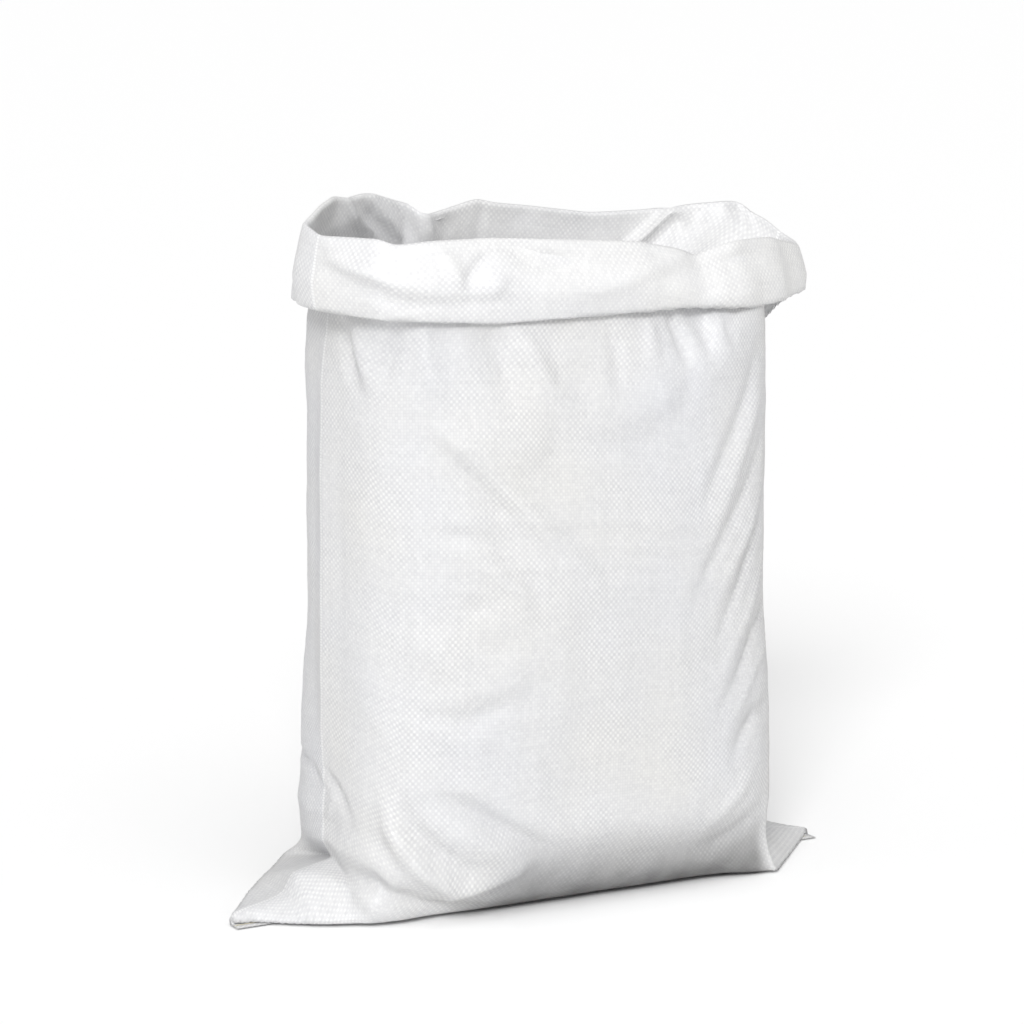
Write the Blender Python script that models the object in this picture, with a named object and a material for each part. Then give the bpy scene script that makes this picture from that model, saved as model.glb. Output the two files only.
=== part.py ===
"""A woven polypropylene sack that stands open on its base, with its mouth turned down into a cuff.

The sack is one flat tube of cloth, hemmed and sewn across its bottom. Standing open, its base is a box, so
the tube's two bottom corners lie flat on the floor as pointed ears. Its mouth is folded down outwards.
Metres, +Z up, broad side along X, front towards -Y, origin on the floor under the middle of the ears.
"""

import math

import bmesh
import bpy
from mathutils import Vector

# Driving dimensions of the cloth tube and of the way it stands
LAY_FLAT_WIDTH = 0.550
BASE_DEPTH = 0.185
BASE_LENGTH = LAY_FLAT_WIDTH - BASE_DEPTH
RIM_HEIGHT = 0.540
CUFF_DROP = 0.066
WALL = 0.0024

# Across the sack: half length, half depth, squareness of the outline and lean to +X, at shares of the height
STATIONS = (
    (0.00, 0.1720, 0.0820, 5.0, 0.004),
    (0.03, 0.1860, 0.0930, 4.6, 0.004),
    (0.14, 0.1920, 0.1030, 3.8, 0.005),
    (0.50, 0.1880, 0.1110, 3.0, 0.005),
    (0.84, 0.1900, 0.1080, 2.6, 0.006),
    (1.00, 0.2020, 0.0960, 2.2, 0.012),
)
RIM_TILT = 0.035
RIM_TILT_BACK = 0.060

# The turned-down cuff, which stands off the body and swells between its fold and its lower edge
ROLL_RADIUS = 0.0065
CUFF_SWELL_END = 0.010
CUFF_SWELL_FACE = 0.004
CUFF_EDGE_TUCK = 0.004
CUFF_FLARE_RIGHT = 0.020
FLARE_NARROWNESS = 3
CUFF_DROP_BACK_RIGHT = 0.018
DROP_NARROWNESS = 2
BACK_RIGHT = math.radians(50.0)

# The ears, and the sewn hem that runs from tip to tip under the base
EAR_RISE_LEFT = 0.066
EAR_RISE_RIGHT = 0.048
EAR_TIP_HEIGHT = 0.0045
EAR_TIP_WIDTH = 0.016
EAR_ROOT_INSET = 0.034
EAR_ROOT_HALF_DEPTH = 0.0765
EAR_SHOULDER_OUT = 0.010
EAR_FOLD_DEPTH_SHARE = 0.9
EAR_FOLD_RISE_SHARE = 0.3
EAR_TIP_TOP_SHARE = 0.6
EAR_FOLD_ROUNDING = 0.0012
GROOVE_RADIUS = 0.0011
GROOVE_LIFT = 0.0002
GROOVE_PAST_TIPS = 0.01
THREAD_RADIUS = 0.0005
THREAD_LIFT = 0.00055
THREAD_TAIL = 0.007
THREAD_START_INSET = 0.001

# The tail makes the right end longer, so all is set back by half of it to centre the whole on the origin
CENTRE_X = -THREAD_TAIL / 2.0

# How finely the cloth is drawn
AROUND = 56
WALL_LEVELS = 18
ROLL_LEVELS = 5
CUFF_LEVELS = 6
THREAD_POINTS = 40
CAVITY_SHARES = (0.0, 0.03, 0.08, 0.14, 0.25)


def new_material(name, color, roughness):
    material = bpy.data.materials.new(name)
    material.use_nodes = True
    shader = material.node_tree.nodes["Principled BSDF"]
    shader.inputs["Base Color"].default_value = (*color, 1.0)
    shader.inputs["Roughness"].default_value = roughness
    shader.inputs["Metallic"].default_value = 0.0
    return material


def station_at(share):
    """The four section values at a share of the height, eased between the two stations around it."""
    for low, high in zip(STATIONS, STATIONS[1:]):
        if share <= high[0]:
            break
    blend = (share - low[0]) / (high[0] - low[0])
    blend = min(max(blend, 0.0), 1.0)
    blend = blend * blend * (3.0 - 2.0 * blend)
    return [a + (b - a) * blend for a, b in zip(low[1:], high[1:])]


def outline_point(half_length, half_depth, squareness, angle):
    power = 2.0 / squareness
    cosine = math.cos(angle)
    sine = math.sin(angle)
    x = half_length * math.copysign(abs(cosine) ** power, cosine)
    y = half_depth * math.copysign(abs(sine) ** power, sine)
    return x, y


def wall_ring(share, outward=0.0, drop=0.0, swell=0.0):
    """One ring of points round the sack. outward and swell push it off the body, and drop lowers it."""
    half_length, half_depth, squareness, lean = station_at(share)
    half_length += outward + swell * CUFF_SWELL_END
    half_depth += outward + swell * CUFF_SWELL_FACE
    ring = []
    for step in range(AROUND):
        angle = 2.0 * math.pi * step / AROUND
        x, y = outline_point(half_length, half_depth, squareness, angle)
        z = share * RIM_HEIGHT - drop + (RIM_TILT_BACK * y - RIM_TILT * x) * share * share
        if outward > ROLL_RADIUS:
            to_right = max(0.0, math.cos(angle)) ** FLARE_NARROWNESS
            to_back_right = max(0.0, math.cos(angle - BACK_RIGHT)) ** DROP_NARROWNESS
            x += CUFF_FLARE_RIGHT * to_right * swell
            z -= CUFF_DROP_BACK_RIGHT * to_back_right * max(0.0, drop) / CUFF_DROP
        ring.append(Vector((x + lean + CENTRE_X, y, z)))
    return ring


def loft(name, rings, close_top=False):
    """A skin over the rings, closed at its bottom by a flat floor."""
    mesh_builder = bmesh.new()
    loops = [[mesh_builder.verts.new(point) for point in ring] for ring in rings]
    for lower, upper in zip(loops, loops[1:]):
        for step in range(AROUND):
            after = (step + 1) % AROUND
            mesh_builder.faces.new((lower[step], lower[after], upper[after], upper[step]))
    mesh_builder.faces.new(list(reversed(loops[0])))
    if close_top:
        mesh_builder.faces.new(loops[-1])
    mesh = bpy.data.meshes.new(name)
    mesh_builder.to_mesh(mesh)
    mesh_builder.free()
    made = bpy.data.objects.new(name, mesh)
    bpy.context.scene.collection.objects.link(made)
    return made


def body_rings():
    """Rings from the floor up the wall, over the rolled rim and down the cuff."""
    rings = [wall_ring(level / WALL_LEVELS) for level in range(WALL_LEVELS + 1)]
    for level in range(1, ROLL_LEVELS + 1):
        turn = math.pi * level / ROLL_LEVELS
        outward = ROLL_RADIUS * (1.0 - math.cos(turn))
        rings.append(wall_ring(1.0, outward, -ROLL_RADIUS * math.sin(turn)))
    for level in range(1, CUFF_LEVELS + 1):
        share = level / CUFF_LEVELS
        outward = 2.0 * ROLL_RADIUS - CUFF_EDGE_TUCK * share * share
        rings.append(wall_ring(1.0, outward, CUFF_DROP * share, math.sin(math.pi * share)))
    return rings


def make_cavity_cutter():
    """The inside of the body, half a wall in, which keeps the ears out of the sack."""
    rings = [wall_ring(share, -WALL / 2.0) for share in CAVITY_SHARES]
    for point in rings[0]:
        point.z = WALL / 2.0
    cutter = loft("cavity_cutter", rings, close_top=True)
    cutter.hide_render = True
    cutter.display_type = "WIRE"
    return cutter


def make_ear(side, cavity):
    """One flat bottom corner of the tube: a wedge from the end of the base to a blunt tip on the floor."""
    root_x = side * (BASE_LENGTH / 2.0 - EAR_ROOT_INSET) + CENTRE_X
    shoulder_x = side * (BASE_LENGTH / 2.0 + EAR_SHOULDER_OUT) + CENTRE_X
    tip_x = side * LAY_FLAT_WIDTH / 2.0 + CENTRE_X
    half_depth = EAR_ROOT_HALF_DEPTH
    half_tip = EAR_TIP_WIDTH / 2.0
    rise = EAR_RISE_RIGHT if side > 0 else EAR_RISE_LEFT
    fold_half_depth = half_depth * EAR_FOLD_DEPTH_SHARE
    fold_rise = rise * EAR_FOLD_RISE_SHARE
    top_half_tip = half_tip * EAR_TIP_TOP_SHARE
    corners = [
        (root_x, -half_depth, 0.0),
        (tip_x, -half_tip, 0.0),
        (tip_x, half_tip, 0.0),
        (root_x, half_depth, 0.0),
        (root_x, -fold_half_depth, fold_rise),
        (tip_x, -top_half_tip, EAR_TIP_HEIGHT),
        (tip_x, top_half_tip, EAR_TIP_HEIGHT),
        (root_x, fold_half_depth, fold_rise),
        (shoulder_x, 0.0, rise),
        (root_x, 0.0, rise),
    ]
    faces = [
        (3, 2, 1, 0),
        (0, 1, 5, 4),
        (1, 2, 6, 5),
        (2, 3, 7, 6),
        (4, 5, 8),
        (5, 6, 8),
        (6, 7, 8),
        (4, 8, 9),
        (8, 7, 9),
        (3, 0, 4, 9, 7),
    ]
    if side < 0:
        faces = [tuple(reversed(face)) for face in faces]
    name = "ear_" + ("right" if side > 0 else "left")
    mesh = bpy.data.meshes.new(name)
    mesh.from_pydata(corners, [], faces)
    ear = bpy.data.objects.new(name, mesh)
    bpy.context.scene.collection.objects.link(ear)
    softened = ear.modifiers.new("softened folds", "BEVEL")
    softened.width = EAR_FOLD_ROUNDING
    softened.segments = 2
    kept_out = ear.modifiers.new("kept out of the inside", "BOOLEAN")
    kept_out.operation = "DIFFERENCE"
    kept_out.object = cavity
    ear.hide_render = True
    ear.display_type = "WIRE"
    return ear


def make_groove_cutter():
    """The shallow channel under the hem where the sewing thread lies."""
    length = LAY_FLAT_WIDTH + 2.0 * GROOVE_PAST_TIPS
    along_x = (0.0, math.pi / 2.0, 0.0)
    bpy.ops.mesh.primitive_cylinder_add(vertices=12, radius=GROOVE_RADIUS, depth=length, rotation=along_x)
    groove = bpy.context.active_object
    groove.name = "groove_cutter"
    groove.location = (CENTRE_X, 0.0, GROOVE_LIFT)
    groove.hide_render = True
    groove.display_type = "WIRE"
    return groove


def make_sack_body():
    body = loft("sack_body", body_rings())
    cloth = body.modifiers.new("cloth wall", "SOLIDIFY")
    cloth.thickness = WALL
    cloth.offset = -1.0
    cloth.use_even_offset = True
    cavity = make_cavity_cutter()
    for side in (-1, 1):
        joined = body.modifiers.new("ear", "BOOLEAN")
        joined.operation = "UNION"
        joined.object = make_ear(side, cavity)
    channel = body.modifiers.new("channel of the hem", "BOOLEAN")
    channel.operation = "DIFFERENCE"
    channel.object = make_groove_cutter()
    body.data.materials.append(new_material("woven polypropylene", (0.86, 0.86, 0.85), 0.38))
    return body


def make_hem_thread():
    """The one thread that closes the bottom hem, with the short tail that is left at the right ear."""
    start = CENTRE_X - LAY_FLAT_WIDTH / 2.0 + THREAD_START_INSET
    end = CENTRE_X + LAY_FLAT_WIDTH / 2.0 + THREAD_TAIL
    curve = bpy.data.curves.new("hem_thread", "CURVE")
    curve.dimensions = "3D"
    curve.bevel_depth = THREAD_RADIUS
    curve.bevel_resolution = 1
    curve.use_fill_caps = True
    spline = curve.splines.new("POLY")
    spline.points.add(THREAD_POINTS - 1)
    for index, point in enumerate(spline.points):
        share = index / (THREAD_POINTS - 1)
        point.co = (start + (end - start) * share, 0.0, THREAD_LIFT, 1.0)
    thread = bpy.data.objects.new("hem_thread", curve)
    bpy.context.scene.collection.objects.link(thread)
    curve.materials.append(new_material("polyester sewing thread", (0.80, 0.78, 0.70), 0.55))
    return thread


def main():
    for old in list(bpy.data.objects):
        bpy.data.objects.remove(old, do_unlink=True)
    make_sack_body()
    make_hem_thread()


main()
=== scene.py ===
# %% [markdown]
# # A woven polypropylene sack
# The sack is one tube of cloth, woven in the round from flat polypropylene tapes. Its bottom is hemmed and
# sewn. Standing open, the tube makes a box below, two flat ears at the bottom corners, and a cuff above where
# the mouth is folded down. This lesson starts from the true tube, and gives every point of it the place that
# it takes when the sack stands. The pattern of the weave then follows the cloth by itself.

# %% Load the fixed frame
import math

import bpy
import numpy as np
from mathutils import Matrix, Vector, noise


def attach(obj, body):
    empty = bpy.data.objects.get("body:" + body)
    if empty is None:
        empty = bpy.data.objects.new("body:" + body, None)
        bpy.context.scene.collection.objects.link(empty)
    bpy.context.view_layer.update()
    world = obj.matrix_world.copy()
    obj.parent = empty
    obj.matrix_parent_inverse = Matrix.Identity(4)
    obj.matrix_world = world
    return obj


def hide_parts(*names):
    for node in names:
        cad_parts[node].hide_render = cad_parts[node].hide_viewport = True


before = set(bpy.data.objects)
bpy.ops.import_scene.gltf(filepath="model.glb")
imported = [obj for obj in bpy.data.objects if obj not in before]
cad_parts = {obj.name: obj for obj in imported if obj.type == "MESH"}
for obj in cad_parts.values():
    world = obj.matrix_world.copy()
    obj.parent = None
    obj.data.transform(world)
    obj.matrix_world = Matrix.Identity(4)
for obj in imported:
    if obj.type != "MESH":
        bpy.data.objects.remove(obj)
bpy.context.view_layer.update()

# %% [markdown]
# ## Sizes of the cloth
# These are the sizes of the cloth itself, and of the box that it makes when it stands. The base takes its
# depth from the tube's two sides, so the flat width is the base's length and depth together. The same sum
# gives the ears: each one is a right-angled corner of the flat sack, half a base deep.

# %% Sizes of the cloth
MM = 0.001
LAY_FLAT = 550 * MM
AROUND = 2 * LAY_FLAT
HALF_DEPTH = 92.5 * MM  # of the base
HALF_LENGTH = LAY_FLAT / 2 - HALF_DEPTH  # of the base
WALL_LENGTH = 533.5 * MM  # up the cloth, from the base's edge to the roll at the rim
WALL_TOP = HALF_DEPTH + WALL_LENGTH
HEM = 14 * MM
TAPES_AROUND = 458
TAPE = AROUND / TAPES_AROUND
CLOTH = 0.35 * MM  # how thick the cloth is
ROLL = 2.2 * MM  # radius of the roll over the rim
SHIFT_X = -3.5 * MM  # brings the sack to where its solids stand
print("base", round(2 * HALF_LENGTH, 4), "by", 2 * HALF_DEPTH, "m, tapes of", round(TAPE / MM, 2), "mm")

# %% [markdown]
# ## The camera
# The photograph looks from the left front, a little above the sack, with a long lens that keeps the upright
# edges upright.

# %% Camera
CAMERA_PLACE = (-1.5, -2.598, 0.86)
CAMERA_TARGET = (-0.02105, 0.0, 0.30823)
CAMERA_LENS = 132.707


def look_from(name, place, target, lens):
    bpy.ops.object.camera_add(location=place)
    camera = bpy.context.object
    camera.name = name
    camera.rotation_euler = (Vector(target) - Vector(place)).to_track_quat("-Z", "Y").to_euler()
    camera.data.lens = lens
    camera.data.sensor_width = 36
    camera.data.clip_end = 100
    return camera


bpy.context.scene.camera = look_from("camera", CAMERA_PLACE, CAMERA_TARGET, CAMERA_LENS)
print("camera at", CAMERA_PLACE)

# %% [markdown]
# ## Helpers for the materials
# A colour is written as it is picked from a screen, and turned into the linear numbers that the shaders work
# in. One function adds a node and links it, and two short ones add the kinds of node that come most often.

# %% Colour and node helpers
def linear(hex_colour, alpha=1.0):
    """An sRGB hex colour such as "F2F1EE" as the linear numbers that the shaders work in."""
    parts = [int(hex_colour[i : i + 2], 16) / 255 for i in (0, 2, 4)]
    return (*[c / 12.92 if c <= 0.04045 else ((c + 0.055) / 1.055) ** 2.4 for c in parts], alpha)


def node(tree, kind, links=None, **settings):
    """Adds one node and sets its properties. links gives each input another node's output, or a value."""
    made = tree.nodes.new("ShaderNode" + kind)
    for name, value in settings.items():
        setattr(made, name, value)
    for name, source in (links or {}).items():
        if isinstance(source, bpy.types.NodeSocket):
            tree.links.new(source, made.inputs[name])
        else:
            made.inputs[name].default_value = source
    return made


def mixed(tree, share, first, second, blend_type="MIX"):
    """A colour between two others or, as "MULTIPLY" with a share of 1, their product."""
    inputs = {"Factor": share, 6: first, 7: second}
    return node(tree, "Mix", inputs, data_type="RGBA", blend_type=blend_type).outputs[2]


def soft_step(tree, value, none_at, full_at):
    """Goes from 0 to 1 between two values, with both ends eased."""
    limits = {0: value, 1: none_at, 2: full_at, 3: 0.0, 4: 1.0}
    return node(tree, "MapRange", limits, interpolation_type="SMOOTHSTEP").outputs[0]


# %% [markdown]
# ## Floor and light
# The floor is plain white paper. The main light is a soft box fairly low at the left front, a weaker one
# stands higher, and pale light comes from all round.

# %% Floor and light
def studio_floor():
    bpy.ops.object.select_all(action="DESELECT")
    bpy.ops.mesh.primitive_plane_add(size=60, location=(0, 0, 0))
    floor = bpy.context.object
    floor.name = "studio_floor"
    material = bpy.data.materials.new("matt white paper floor")
    material.use_nodes = True
    shader = material.node_tree.nodes["Principled BSDF"]
    shader.inputs["Base Color"].default_value = linear("FBFBFB")
    shader.inputs["Roughness"].default_value = 0.9
    floor.data.materials.append(material)
    return floor


def distant_soft_box(name, azimuth, elevation, strength, softness):
    """A large lamp far away, so the floor is evenly lit. Azimuth 0 is the sack's front, 90 its left."""
    bpy.ops.object.light_add(type="SUN", location=(0, 0, 3))
    lamp = bpy.context.object
    lamp.name = name
    turn, rise = math.radians(azimuth), math.radians(elevation)
    towards = Vector((-math.sin(turn) * math.cos(rise), -math.cos(turn) * math.cos(rise), math.sin(rise)))
    lamp.rotation_euler = towards.to_track_quat("Z", "Y").to_euler()
    lamp.data.energy = strength
    lamp.data.angle = math.radians(softness)
    return lamp


studio_floor()
distant_soft_box("soft_box_key", azimuth=35, elevation=33, strength=1.95, softness=20)
distant_soft_box("soft_box_top", azimuth=20, elevation=62, strength=0.6, softness=40)
world = bpy.data.worlds.new("studio")
bpy.context.scene.world = world
world.use_nodes = True
world.node_tree.nodes["Background"].inputs["Color"].default_value = linear("FFFFFF")
world.node_tree.nodes["Background"].inputs["Strength"].default_value = 0.55
bpy.context.scene.view_settings.view_transform = "Standard"

# %% [markdown]
# ## The straight tube
# The cloth leaves the loom as a seamless tube. A cylinder primitive is exactly that, so it is added at the
# tube's real girth. Its upright edges are cut into rings, and each ring stands for one distance along the
# cloth. They are close together where the cloth will turn sharply: at the hem, over the rim and round the
# edge of the cuff. The pattern's coordinates are laid on now, in metres of real cloth.

# %% The tube and its coordinates
COLUMNS = 240
RINGS = np.concatenate([
    np.linspace(-HEM, -3 * MM, 4),  # the hem
    np.linspace(-1 * MM, 12 * MM, 8),  # its fold
    np.linspace(16 * MM, 132 * MM, 36),  # the base and its edge
    np.linspace(136.5 * MM, 600 * MM, 100),  # the wall
    np.linspace(603 * MM, 660 * MM, 22),  # over the rim
    np.linspace(664 * MM, 690 * MM, 7),  # the cuff
    np.linspace(692 * MM, 720 * MM, 14),  # round its edge
    np.linspace(724 * MM, 758 * MM, 8),  # tucked up behind it
])


def woven_tube(name):
    """A straight tube with one ring of points for each of RINGS, and each point's column and ring."""
    bpy.ops.object.select_all(action="DESELECT")
    girth_radius = AROUND / (2 * math.pi)
    bpy.ops.mesh.primitive_cylinder_add(
        vertices=COLUMNS, radius=girth_radius, depth=1.0, end_fill_type="NOTHING", location=(0, 0, 0.5))
    tube = bpy.context.object
    tube.name = name
    bpy.ops.object.transform_apply(location=True, rotation=True, scale=True)
    mesh = tube.data
    for cuts in (1, (len(RINGS) - 1) // 2 - 1):
        bpy.ops.object.mode_set(mode="EDIT")
        bpy.ops.mesh.select_mode(type="EDGE")
        bpy.ops.mesh.select_all(action="DESELECT")
        bpy.ops.object.mode_set(mode="OBJECT")
        for edge in mesh.edges:
            low, high = (mesh.vertices[i].co.z for i in edge.vertices)
            edge.select = abs(low - high) > 0.4  # upright: half the tube long, or all of it
        bpy.ops.object.mode_set(mode="EDIT")
        bpy.ops.mesh.subdivide(number_cuts=cuts)
        bpy.ops.object.mode_set(mode="OBJECT")
    points = np.empty(len(mesh.vertices) * 3)
    mesh.vertices.foreach_get("co", points)
    points = points.reshape(-1, 3)
    ring = np.rint(points[:, 2] * (len(RINGS) - 1)).astype(int)
    turn = np.arctan2(points[:, 1], points[:, 0]) / (2 * math.pi)
    column = np.rint(turn * COLUMNS).astype(int) + COLUMNS // 2
    return tube, column % COLUMNS, ring


def lay_coordinates(tube, column, ring):
    """Writes the distance round the tube and along it, in metres, into the UV map."""
    mesh = tube.data
    layer = mesh.uv_layers.new(name="cloth metres") if not mesh.uv_layers else mesh.uv_layers[0]
    layer.name = "cloth metres"
    corner_point = np.empty(len(mesh.loops), int)
    mesh.loops.foreach_get("vertex_index", corner_point)
    across = column[corner_point].astype(float)
    for face in mesh.polygons:
        span = slice(face.loop_start, face.loop_start + face.loop_total)
        if np.ptp(across[span]) > COLUMNS / 2:
            across[span] = np.where(across[span] < COLUMNS / 2, across[span] + COLUMNS, across[span])
    uv = np.stack([across * AROUND / COLUMNS, RINGS[ring[corner_point]]], axis=1)
    layer.data.foreach_set("uv", uv.ravel())


sack, column_of, ring_of = woven_tube("sack_cloth")
lay_coordinates(sack, column_of, ring_of)
print("tube has", len(sack.data.vertices), "points in", len(RINGS), "rings of", COLUMNS)

# %% [markdown]
# ## Where each point of the cloth goes
# Every point has two cloth coordinates: how far round the tube it is, from the left side crease, and how far
# up from the sewn bottom. The body is a lofted shell, so the first functions give its outline at any height,
# walked by distance. That keeps each upright tape upright. Where folds take up cloth, the outline is shorter
# than the tube is round.

# %% The body's outline at any height
# Height, half length, half depth, squareness of the outline, and lean to the right
SECTIONS = np.array([
    (0.000, 0.1780, 0.0880, 4.6, 0.004), (0.016, 0.1860, 0.0930, 4.6, 0.004),
    (0.076, 0.1945, 0.1090, 3.4, 0.006), (0.270, 0.1915, 0.1170, 2.6, 0.007),
    (0.440, 0.1910, 0.1070, 2.9, 0.007), (0.500, 0.1870, 0.1040, 3.0, 0.008),
    (0.540, 0.1870, 0.1000, 3.0, 0.008),
])
OUTLINE_TOP = SECTIONS[-1, 0]


def ease(value):
    value = np.clip(value, 0.0, 1.0)
    return value * value * (3.0 - 2.0 * value)


def section_at(height):
    """Half length, half depth, squareness and lean at a height, eased from one section to the next."""
    heights = SECTIONS[:, 0]
    index = np.clip(np.searchsorted(heights, height, side="right") - 1, 0, len(heights) - 2)
    low, high = SECTIONS[index], SECTIONS[index + 1]
    share = ease((height - low[..., 0]) / (high[..., 0] - low[..., 0]))[..., None]
    values = low[..., 1:] + (high[..., 1:] - low[..., 1:]) * share
    return values[..., 0], values[..., 1], values[..., 2], values[..., 3]


def super_outline(angle, half_length, half_depth, squareness):
    cosine, sine = np.cos(angle), np.sin(angle)
    power = 2.0 / squareness
    return (half_length * np.sign(cosine) * np.abs(cosine) ** power,
            half_depth * np.sign(sine) * np.abs(sine) ** power)


WALK_HEIGHTS = np.linspace(0.0, OUTLINE_TOP, 37)
WALK_SHARES = np.linspace(0.0, 1.0, 481)


def walk_table():
    """For each height, the angle at which a given share of the outline's length has been walked."""
    angles = np.linspace(math.pi, 3 * math.pi, 4801)
    rows = []
    for height in WALK_HEIGHTS:
        half_length, half_depth, squareness, _ = section_at(np.array(height))
        x, y = super_outline(angles, half_length, half_depth, squareness)
        walked = np.concatenate([[0.0], np.cumsum(np.hypot(np.diff(x), np.diff(y)))])
        rows.append(np.interp(WALK_SHARES, walked / walked[-1], angles))
    return np.array(rows)


WALK = walk_table()


def wall_point(around, height):
    """x and y of the body's wall, a distance round the tube and at a height."""
    share = (around / AROUND) % 1.0
    column = share * (len(WALK_SHARES) - 1)
    row = np.clip(height / OUTLINE_TOP, 0.0, 1.0) * (len(WALK_HEIGHTS) - 1)
    before = np.clip(column.astype(int), 0, len(WALK_SHARES) - 2)
    below = np.clip(row.astype(int), 0, len(WALK_HEIGHTS) - 2)
    across, up = column - before, row - below
    lower = WALK[below, before] * (1 - across) + WALK[below, before + 1] * across
    upper = WALK[below + 1, before] * (1 - across) + WALK[below + 1, before + 1] * across
    angle = lower * (1 - up) + upper * up
    half_length, half_depth, squareness, lean = section_at(height)
    x, y = super_outline(angle, half_length, half_depth, squareness)
    return x + lean, y


# %% [markdown]
# ## The rim and the cuff's lower edge
# The rim isn't level. It is highest at the back left, dips where it is pinched, and falls to the right. The
# cuff's lower edge has its own line. The rim's rows were worked out beforehand, from points picked in the
# photograph, the camera's view and a guessed depth. The cuff's rows were set from such points.

# %% Lines round the mouth
def closed_line(pairs, corner=4.0):
    """A closed line through (distance round the tube, value), both in mm, with its corners eased a little."""
    where, value = np.array(sorted(pairs), float).T * MM
    where = np.concatenate([where - AROUND, where, where + AROUND])
    value = np.tile(value, 3)

    def curve(around):
        around = around % AROUND
        slips = np.linspace(-1.5, 1.5, 7) * corner * MM
        return sum(np.interp(around + slip, where, value) for slip in slips) / len(slips)
    return curve


# Distance round the tube, then x, y and height of the rim
RIM = (
    (0, -197, -22, 544), (62, -174, -78, 545), (71, -167, -81, 540), (98, -142, -91, 543),
    (149, -90, -94, 543), (207, -32, -94, 539), (282, 42, -91, 533), (322, 80, -84, 525),
    (350, 103, -79, 517), (367, 120, -80, 523), (389, 142, -78, 527), (440, 187, -55, 525),
    (504, 240, -18, 512), (530, 251, 6, 513), (547, 253, 22, 516), (570, 249, 45, 528),
    (581, 244, 55, 531), (593, 240, 66, 541), (628, 211, 86, 538), (658, 183, 97, 535),
    (676, 166, 98, 534), (726, 115, 100, 534), (759, 82, 100, 539), (787, 54, 101, 543),
    (818, 23, 101, 547), (833, 8, 100, 551), (856, -15, 98, 546), (882, -40, 88, 542),
    (896, -53, 84, 543), (904, -58, 92, 550), (925, -78, 88, 556), (943, -97, 84, 562),
    (962, -112, 74, 563), (979, -126, 64, 561), (1004, -147, 50, 565), (1030, -168, 32, 560),
    (1066, -195, 10, 550),
)
# Distance round the tube, then the height of the cuff's edge, and how far the cuff stands out above half-way
# and at its edge
CUFF = (
    (0, 486, 7, 3), (62, 483, 7, 0), (99, 481, 8, 0.5), (150, 477, 10, 3), (208, 478, 12, 6),
    (283, 477, 12, 8), (322, 478, 11, 11), (350, 476, 11, 13), (389, 473, 9, 12), (440, 472, 7, 9),
    (504, 474, 6, 6), (530, 469, 5, 3), (547, 462, 4, 1), (560, 451, 4, 1), (577, 434, 6, 6),
    (600, 430, 8, 11), (640, 438, 9, 13), (676, 456, 8, 9), (740, 465, 6, 8), (800, 474, 6, 8),
    (900, 482, 7, 9), (1000, 488, 9, 9), (1066, 487, 7, 5),
)
# How far below the rim the body starts to take the rim's outline
RIM_REACH = (
    (0, 60), (62, 110), (150, 130), (360, 125), (420, 70), (480, 45), (640, 45), (720, 80), (1000, 80),
)
rim_x, rim_y, rim_height = (closed_line([(row[0], row[i]) for row in RIM]) for i in (1, 2, 3))
rim_reach = closed_line(RIM_REACH, 10.0)
cuff_edge, cuff_middle, cuff_foot = (closed_line([(row[0], row[i]) for row in CUFF], 10.0) for i in (1, 2, 3))
ROUNDS = np.arange(COLUMNS) * AROUND / COLUMNS
print("rim between", round(rim_height(ROUNDS).min(), 3), "and", round(rim_height(ROUNDS).max(), 3))

# %% [markdown]
# ## The foot and the ears
# Below, the tube folds as a paper bag does. The front and back layers meet at the seam under the base. Past
# each end of the base, a layer runs out to the ear's slanting fold, turns over it, and comes back along the
# top of the ear to the foot of the side. Folded flat, that map keeps every length of the cloth, so it is the
# frame to start from. The folds and the ears then get the places and heights that the photograph shows, which
# stretches and shortens the cloth there.

# %% The sharp fold of the whole sack
EAR_OUT = np.array([0, 20, 36, 43, 53, 73, 92.5]) * MM
EAR_TOP_LEFT = np.array([44, 39, 35, 21, 17, 13, 9]) * MM
EAR_TOP_RIGHT = np.array([38, 26, 18, 16, 13, 9, 7]) * MM
FOLD_OUT = np.array([0, 22.5, 45.5, 60, 73.5, 92.5]) * MM
FOLD_FRONT_LEFT = np.array([62, 49, 30, 18, 9, 5]) * MM
FOLD_RISE_BACK_LEFT = np.array([24, 22, 20, 17, 12, 7]) * MM
FOLD_RISE_BACK_RIGHT = np.array([25, 16, 12.5, 11.5, 8.5, 6]) * MM
FRONT_FOOT_X = np.array([-182.5, -151, -98, -51, 33, 105, 155, 182.5]) * MM
FRONT_FOOT_Y = np.array([62, 70, 76, 79, 81, 84, 86, 86]) * MM
BACK_FOOT_Y = 90 * MM
FRONT_RISE = 1.2 * MM
UNDERSIDE = 3.0 * MM  # height of the base's cloth, with the hem below it
FLAT_BASE_TO = 100 * MM  # how far from the middle the base lies flat
DRAWN_IN = 14 * MM
DRAWN_DOWN = 0.35  # as a share of DRAWN_IN
CROWN_POWER = 1.8
# Over these heights the wall swings out from its foot to the lofted outline
BULGE_FRONT, BULGE_BACK, BULGE_BACK_LEFT = 96 * MM, 52 * MM, 30 * MM


def fold_depth(out, left, front):
    """How far to the front or back the ear's slanting fold is, a distance out from the end of the base."""
    plain = np.maximum(HALF_DEPTH - out, 5 * MM)
    return np.where(left & front, np.interp(out, FOLD_OUT, FOLD_FRONT_LEFT), plain)


def fold_rise(out, left, front):
    """How high the ear's slanting fold lies, a distance out from the end of the base."""
    back_left = np.interp(out, FOLD_OUT, FOLD_RISE_BACK_LEFT)
    back_right = np.interp(out, FOLD_OUT, FOLD_RISE_BACK_RIGHT)
    return np.where(front, FRONT_RISE, np.where(left, back_left, back_right))


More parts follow.
